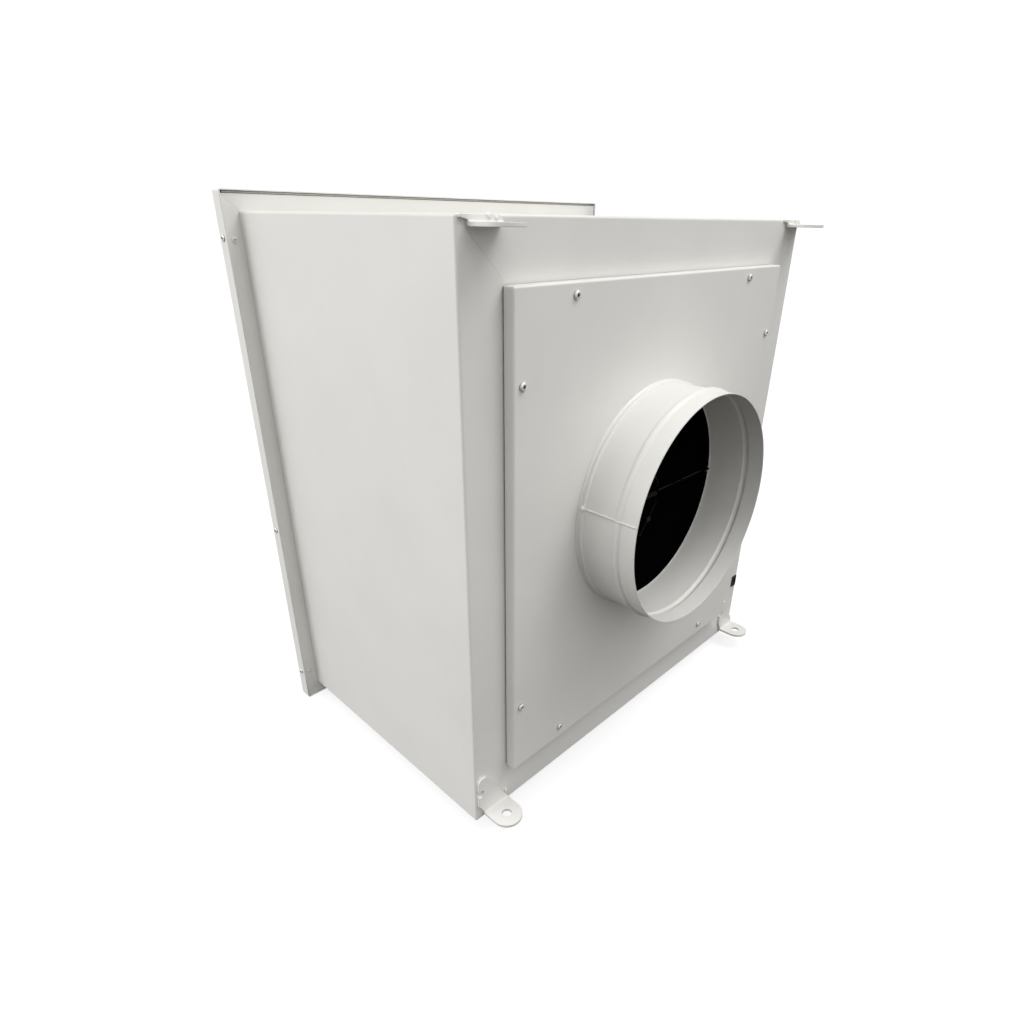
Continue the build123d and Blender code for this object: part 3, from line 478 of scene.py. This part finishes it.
SCENE.view_settings.view_transform = "Standard"
studio()
sky()
softbox("left_light", (-2.6, 1.5, 1.3), (-0.25, 0.25, 0.0), 1.8, 27.0)
softbox("high_light", (0.7, -0.7, 1.9), (0.0, 0.08, 0.0), 1.1, 17.5)


# ---- mesh helpers -------------------------------------------------------------------
def new_piece(name, mesh_data, slot, body="cabinet", sharp=35.0):
    """Makes a shaded object from a bmesh, with its slot's material, riding on a body."""
    bmesh.ops.recalc_face_normals(mesh_data, faces=mesh_data.faces)
    mesh = bpy.data.meshes.new(name)
    mesh_data.to_mesh(mesh)
    mesh_data.free()
    mesh.shade_smooth()
    mesh.set_sharp_from_angle(angle=math.radians(sharp))
    mesh.materials.append(MATERIALS[slot])
    piece = bpy.data.objects.new(name, mesh)
    SCENE.collection.objects.link(piece)
    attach(piece, body)
    return piece


def solids_of(node_name):
    """Each separate solid of a CAD node, as its lowest and highest corner, in a fixed order."""
    copy = bmesh.new()
    copy.from_mesh(NODES[node_name].data)
    bmesh.ops.remove_doubles(copy, verts=copy.verts, dist=1e-6)
    unseen = set(copy.verts)
    boxes = []
    while unseen:
        waiting = [unseen.pop()]
        points = []
        while waiting:
            vertex = waiting.pop()
            points.append(vertex.co.copy())
            for edge in vertex.link_edges:
                other = edge.other_vert(vertex)
                if other in unseen:
                    unseen.remove(other)
                    waiting.append(other)
        low = Vector([min(p[axis] for p in points) for axis in range(3)])
        high = Vector([max(p[axis] for p in points) for axis in range(3)])
        boxes.append((low, high))
    copy.free()
    return sorted(boxes, key=lambda box: tuple(round(v, 5) for v in box[0]))


def loft(mesh_data, rings):
    """Skins closed rings of points with quads and fans the two ends to their centres."""
    made = [[mesh_data.verts.new(point) for point in ring] for ring in rings]
    count = len(made[0])
    for first, second in zip(made, made[1:]):
        for i in range(count):
            j = (i + 1) % count
            mesh_data.faces.new((first[i], first[j], second[j], second[i]))
    for ring in (made[0], made[-1]):
        centre = mesh_data.verts.new(sum((v.co for v in ring), Vector()) / count)
        for i in range(count):
            mesh_data.faces.new((ring[i], ring[(i + 1) % count], centre))


# ---- fasteners ----------------------------------------------------------------------
def hexagon(size):
    """Polar outline of a hexagon socket, size being half its width across the corners."""
    sixth = math.pi / 3
    return lambda turn: size * math.cos(sixth / 2) / math.cos(turn % sixth - sixth / 2)


def cross(size):
    """Polar outline of a cross recess."""
    arm = 0.32 * size
    return lambda turn: min(size, arm / max(1e-6, min(abs(math.sin(turn)), abs(math.cos(turn)))))


def circle(size):
    """Polar outline of a circle."""
    return lambda turn: size


SEGMENTS = 48
CROWN_STEPS = 7
CROWN_LEAN = math.radians(52)           # how far the crown of a head curves over


def fastener_rings(head, height, shank, length, recess, depth, dome):
    """Rings of a screw or rivet: seat at z = 0, head towards +z and shank towards -z."""
    def ring(outline, z, scale=1.0):
        """An outline's points at a height, larger or smaller by the scale."""
        turns = [2 * math.pi * i / SEGMENTS for i in range(SEGMENTS)]
        return [
            Vector((outline(t) * scale * math.cos(t), outline(t) * scale * math.sin(t), z))
            for t in turns
        ]

    rings = [ring(circle(0.6 * shank), -length), ring(circle(shank), -length + 0.4 * shank)]
    pitch = 0.35 * shank
    ridges = int((length - 0.4 * shank - 0.3 * height) / pitch)
    for index in range(ridges):
        at = -length + 0.4 * shank + (index + 0.5) * pitch
        rings.append(ring(circle(shank * (0.94 if index % 2 else 1.0)), at))
    rings.append(ring(circle(shank), -0.15 * height))
    rings.append(ring(circle(shank), 0.0))
    rings.append(ring(circle(0.95 * head), 0.0))
    rings.append(ring(circle(head), 0.06 * height))
    side = (1.0 - dome) * height
    rings.append(ring(circle(head), side))
    for step in range(1, CROWN_STEPS + 1):
        lean = CROWN_LEAN * step / CROWN_STEPS
        rise = math.sin(lean) / math.sin(CROWN_LEAN)
        rings.append(ring(circle(head * math.cos(lean)), side + dome * height * rise))
    rings.append(ring(recess, height, 1.04))
    rings.append(ring(recess, height - 0.03 * head))
    rings.append(ring(recess, height - depth, 0.9))
    rings.append(ring(circle(0.25 * head), height - 1.12 * depth))
    return rings


def fasteners(node_name, out, recess, height, shank,
              dome=0.8, recess_share=0.5, depth_share=0.7, body="cabinet"):
    """Replaces a node of screws or rivets by detailed ones whose heads face the out way.

    An out of no length means that each head faces away from the object's middle, along X.
    """
    made = bmesh.new()
    out = Vector(out)
    for index, (low, high) in enumerate(solids_of(node_name)):
        middle, size = (low + high) / 2, high - low
        facing = out if out.length else Vector((math.copysign(1, middle.x - CENTRE.x), 0, 0))
        along = max(range(3), key=lambda axis: abs(facing[axis]))
        head = max(size[axis] for axis in range(3) if axis != along) / 2
        top = middle + facing * size[along] / 2
        rings = fastener_rings(
            head, height, shank, size[along] - height,
            recess(recess_share * head), depth_share * height, dome,
        )
        spin = Matrix.Rotation(math.radians(37 * index + 11), 4, "Z")
        aim = facing.to_track_quat("Z", "Y").to_matrix().to_4x4()
        place = Matrix.Translation(top - facing * height) @ aim @ spin
        loft(made, [[place @ point for point in ring] for ring in rings])
    entry = next(e for e in frame["record"]["subparts"] if e["node"] == node_name)
    piece = new_piece(node_name + "_detailed", made, entry["material_slot"], body)
    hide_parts(node_name)


TO_DUCT, TO_ROOM, SIDEWAYS = (0, -1, 0), (0, 1, 0), (0, 0, 0)

fasteners("panel_screws", TO_DUCT, hexagon, dome=0.42, height=2.6 * MM, shank=1.95 * MM,
          depth_share=0.8)
fasteners("cover_screws", SIDEWAYS, cross, height=1.5 * MM, shank=1.95 * MM, recess_share=0.62)
fasteners("flange_rivets", TO_DUCT, circle, height=1.1 * MM, shank=1.55 * MM,
          recess_share=0.38, depth_share=1.8)
fasteners("grille_screws", TO_ROOM, cross, height=1.2 * MM, shank=1.9 * MM, recess_share=0.55)
fasteners("deck_screws", TO_ROOM, cross, height=2.5 * MM, shank=2.4 * MM)
fasteners("inlet_ring_screws", TO_ROOM, cross, height=2.0 * MM, shank=1.9 * MM)
fasteners("rotor_screws", TO_ROOM, hexagon, height=3.0 * MM, shank=2.4 * MM, body="fan_wheel")
fasteners("motor_screws", TO_DUCT, hexagon, dome=0.25, height=5.0 * MM, shank=2.9 * MM)


# ---- welds --------------------------------------------------------------------------
def surface_of(node_name):
    """A search tree over a CAD node's own surface."""
    mesh = NODES[node_name].data
    return BVHTree.FromPolygons(
        [v.co for v in mesh.vertices], [tuple(p.vertices) for p in mesh.polygons]
    )


WELD_RIPPLE = 2.4 * MM
WELD_SECTION = (
    # (across, up), as shares of half the width and of the height: the foot is sunk in the sheet
    (-1.0, -0.55), (-1.0, 0.0), (-0.72, 0.55), (-0.3, 0.93), (0.0, 1.0),
    (0.3, 0.93), (0.72, 0.55), (1.0, 0.0), (1.0, -0.55),
)


def weld_run(made, points, outs, width, height, seed):
    """A weld bead along points, crowned in the outs directions, with overlapping ripples."""
    rings = []
    gone = 0.0
    total = sum((b - a).length for a, b in zip(points, points[1:]))
    for index, (point, out) in enumerate(zip(points, outs)):
        before, after = points[max(index - 1, 0)], points[min(index + 1, len(points) - 1)]
        if index:
            gone += (point - points[index - 1]).length
        ahead = (after - before).normalized()
        side = ahead.cross(out).normalized()
        ends = max(0.08, min(1.0, 1.6 * min(gone, total - gone) / width)) ** 0.5
        wave = 0.86 + 0.14 * abs(math.sin(math.pi * gone / WELD_RIPPLE))
        uneven = 1.0 + 0.22 * noise_at(point * 260.0 + Vector((seed, 0, 0)))
        rings.append([
            point + side * (width / 2 * across * ends * uneven)
            + out * (height * (up if up < 0 else up * ends * wave * uneven))
            for across, up in WELD_SECTION
        ])
    loft(made, rings)


CLEAR_OF_TUBE = 160 * MM                # a radius well outside the spigot


def tube_point(turn, along_y, tree):
    """Where the spigot's outside lies at an angle above -X and a place along Y, and its way out."""
    out = Vector((-math.cos(turn), 0.0, math.sin(turn)))
    hit = tree.ray_cast(out * CLEAR_OF_TUBE + Vector((0.0, along_y, 0.0)), -out)[0]
    return hit, out


def smoothed(points):
    """Each point averaged with the two before and the two after it."""
    spans = [points[max(0, i - 2):i + 3] for i in range(len(points))]
    return [sum(span, Vector()) / len(span) for span in spans]


SEAM_TURN = math.radians(10.0)          # above -X
SEAM_START = 1.2 * MM
SEAM_STEP = 0.5 * MM
SEAM_END = PANEL_FRONT - 1.6 * MM
RUN_POINTS = 25
BASE_RUNS = (
    # (angle above -X from, to, distance before the seam's end, width, height)
    (11.6, 8.2, 4.0 * MM, 4.6 * MM, 2.0 * MM),
    (8.6, 4.2, 3.2 * MM, 3.6 * MM, 1.2 * MM),
)


def spigot_welds():
    """The seam along the spigot, and the two short runs that close its base ring beside it."""
    tree = surface_of("duct_spigot")
    made = bmesh.new()
    steps = int((SEAM_END - SEAM_START) / SEAM_STEP)
    hits = [tube_point(SEAM_TURN, SEAM_START + SEAM_STEP * i, tree) for i in range(steps)]
    points, outs = zip(*hits)
    weld_run(made, smoothed(points), outs, 2.3 * MM, 0.75 * MM, 3.0)
    for first, last, before, width, height in BASE_RUNS:
        shares = [i / (RUN_POINTS - 1) for i in range(RUN_POINTS)]
        turns = [math.radians(first + (last - first) * share) for share in shares]
        points, outs = zip(*(tube_point(turn, SEAM_END - before, tree) for turn in turns))
        weld_run(made, points, outs, width, height, first)
    new_piece("spigot_weld", made, "white_powder_coat", sharp=60.0)


TACK_POINTS = 15
UPPER_TACKS = ((0.66, 7.0 * MM), (0.84, 5.0 * MM))      # (share of the lug's width, length)
LOWER_TACK_LENGTH = 6.0 * MM
LOWER_TACK_START = 6.0 * MM                             # above the lug's underside


def upper_tacks(low, high):
    """Points of the tacks along the top of an upper lug's leg."""
    for number, (share, length) in enumerate(UPPER_TACKS):
        middle = low.x + share * (high.x - low.x)
        z = high.z - 0.4 * MM - 1.4 * MM * number
        yield [
            Vector((middle + (i / (TACK_POINTS - 1) - 0.5) * length, high.y - 2.6 * MM, z))
            for i in range(TACK_POINTS)
        ]


def lower_tacks(low, high):
    """Points of the one tack up the side of a lower lug's leg."""
    start = Vector((high.x + 0.4 * MM, high.y - 0.2 * MM, low.z + LOWER_TACK_START))
    yield [
        start + Vector((0, 0, i / (TACK_POINTS - 1) * LOWER_TACK_LENGTH)) for i in range(TACK_POINTS)
    ]


def lug_welds():
    """Short tacks where each lug's leg meets the cabinet."""
    rows = (("lower", lower_tacks, Vector((1, -1, 0))), ("upper", upper_tacks, Vector((0, -1, 1))))
    for row, tacks, out in rows:
        for side in ("left", "right"):
            low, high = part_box(f"lug_{row}_{side}")
            made = bmesh.new()
            for number, points in enumerate(tacks(low, high)):
                outs = [out.normalized()] * TACK_POINTS
                weld_run(made, points, outs, 4.2 * MM, 1.7 * MM, number + low.x * 50)
            new_piece(f"lug_weld_{row}_{side}", made, "white_powder_coat", sharp=60.0)


spigot_welds()
lug_welds()


# ---- closing spring -----------------------------------------------------------------
COIL_TURNS = 15
STEPS_PER_TURN = 24
WIRE_SIDES = 8
COIL_WIRE = 0.62 * MM                   # radius
ARM_END_BEND = 2.5 * MM                 # how far an arm's bent end reaches towards the coil


def wire_ring(middle, radius, first, second):
    """Points round a wire, in the plane of two directions."""
    turns = [2 * math.pi * k / WIRE_SIDES for k in range(WIRE_SIDES)]
    return [middle + radius * (math.cos(t) * first + math.sin(t) * second) for t in turns]


def wound_coil():
    """The closing spring's coil as close turns of round wire."""
    low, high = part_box("damper_spring_coil")
    centre = (low + high) / 2
    sweep = (high.z - low.z) / 2 - COIL_WIRE
    start, stop = low.x + COIL_WIRE, high.x - COIL_WIRE
    steps = COIL_TURNS * STEPS_PER_TURN
    made = bmesh.new()
    rings = []
    for i in range(steps + 1):
        angle = 2 * math.pi * i / STEPS_PER_TURN
        out = Vector((0, math.cos(angle), math.sin(angle)))
        along = start + (stop - start) * i / steps
        middle = Vector((along, centre.y, centre.z)) + out * sweep
        rings.append(wire_ring(middle, COIL_WIRE, out, Vector((1, 0, 0))))
    loft(made, rings)
    piece = new_piece("damper_spring_wound", made, "spring_wire", sharp=60.0)
    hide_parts("damper_spring_coil")


def bent_arm(side):
    """A spring arm whose near end is bent towards the coil, short of the other arm's way."""
    node_name = f"spring_arm_{side}"
    low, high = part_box(node_name)
    coil_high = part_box("damper_spring_coil")[1]
    way = 1 if side == "upper" else -1
    near, far = (low.z, high.z) if way > 0 else (high.z, low.z)
    wire = (high.y - low.y) / 2
    y = (low.y + high.y) / 2
    path = [
        Vector((coil_high.x - 0.2 * MM, y, near - way * ARM_END_BEND)),
        Vector((high.x - wire, y, near + way * 0.2 * MM)),
        Vector((low.x + wire, y, far - way * wire)),
    ]
    made = bmesh.new()
    over = Vector((0, 1, 0))
    rings = []
    for index, point in enumerate(path):
        before, after = path[max(index - 1, 0)], path[min(index + 1, len(path) - 1)]
        across = (after - before).normalized().cross(over)
        rings.append(wire_ring(point, wire, across, over))
    loft(made, rings)
    piece = new_piece(node_name + "_bent", made, "spring_wire", f"flap_{side}", sharp=60.0)
    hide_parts(node_name)


wound_coil()
for flap_side in ("upper", "lower"):
    bent_arm(flap_side)


# ---- filter pad and foam seals ------------------------------------------------------
def soft_block(name, node_name, cell, swell, waver, seed, slot):
    """A soft block in a CAD solid's place, its thin edges rounded and its two faces uneven."""
    low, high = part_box(node_name)
    size = high - low
    thin = min(range(3), key=lambda axis: size[axis])
    counts = [max(2, min(120, round(size[axis] / cell))) for axis in range(3)]
    made = bmesh.new()
    index = {}

    def corner(key):
        """The vertex at a place in the block's grid, made when it is first asked for."""
        if key not in index:
            shares = [key[axis] / counts[axis] for axis in range(3)]
            point = Vector([low[axis] + shares[axis] * size[axis] for axis in range(3)])
            edge = 1.0
            for axis in range(3):
                if axis != thin:
                    edge *= min(1.0, 4.0 * min(shares[axis], 1 - shares[axis]) * size[axis] / size[thin])
            facing = 2.0 * shares[thin] - 1.0
            rough = noise_at(point * (0.35 / cell) + Vector((seed, 0, 0)))
            fine = noise_at(point * (1.1 / cell) + Vector((0, seed, 0)))
            point[thin] -= facing * size[thin] * swell * (1.0 - edge ** 0.5)
            point[thin] -= abs(facing) * facing * waver * (0.5 + 0.35 * rough + 0.15 * fine)
            index[key] = made.verts.new(point)
        return index[key]

    for axis in range(3):
        first, second = [other for other in range(3) if other != axis]
        for end in (0, counts[axis]):
            for i in range(counts[first]):
                for j in range(counts[second]):
                    face = []
                    for di, dj in ((0, 0), (1, 0), (1, 1), (0, 1)):
                        key = [0, 0, 0]
                        key[axis], key[first], key[second] = end, i + di, j + dj
                        face.append(corner(tuple(key)))
                    made.faces.new(face)
    piece = new_piece(name, made, slot, sharp=70.0)
    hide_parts(node_name)


soft_block("filter_pad_fibre", "filter_pad", 5.0 * MM, 0.12, 1.6 * MM, 7.0, "filter_fibre")
soft_block("cover_seal_foam", "cover_seal", 1.3 * MM, 0.3, 0.25 * MM, 4.0, "grey_foam")


SEAL_WIDTH = 4.5 * MM
SEAL_STEPS = 90
SEAL_SECTION = (
    # (across, deep), as shares of half the width and of the depth
    (-0.9, 0.0), (0.9, 0.0), (1.0, 0.2), (1.04, 0.5), (1.0, 0.8), (0.9, 1.0),
    (-0.9, 1.0), (-1.0, 0.8), (-1.04, 0.5), (-1.0, 0.2),
)


def panel_seal_foam():
    """Four butted foam strips round the panel's rim, slightly crowned where they are squeezed out."""
    low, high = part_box("panel_seal")
    half = SEAL_WIDTH / 2
    made = bmesh.new()
    runs = [
        (Vector((low.x, 0, z)), Vector((high.x, 0, z))) for z in (low.z + half, high.z - half)
    ]
    runs += [
        (Vector((x, 0, low.z + SEAL_WIDTH)), Vector((x, 0, high.z - SEAL_WIDTH)))
        for x in (low.x + half, high.x - half)
    ]
    for start, end in runs:
        side = (end - start).normalized().cross(Vector((0, 1, 0)))
        rings = []
        for i in range(SEAL_STEPS + 1):
            centre = start.lerp(end, i / SEAL_STEPS)
            bulged = half * (1.0 + 0.05 * noise_at(centre * 180.0))
            rings.append([
                centre + Vector((0, low.y + deep * (high.y - low.y), 0)) + side * (bulged * across)
                for across, deep in SEAL_SECTION
            ])
        loft(made, rings)
    piece = new_piece("panel_seal_foam", made, "black_foam", sharp=60.0)
    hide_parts("panel_seal")


panel_seal_foam()
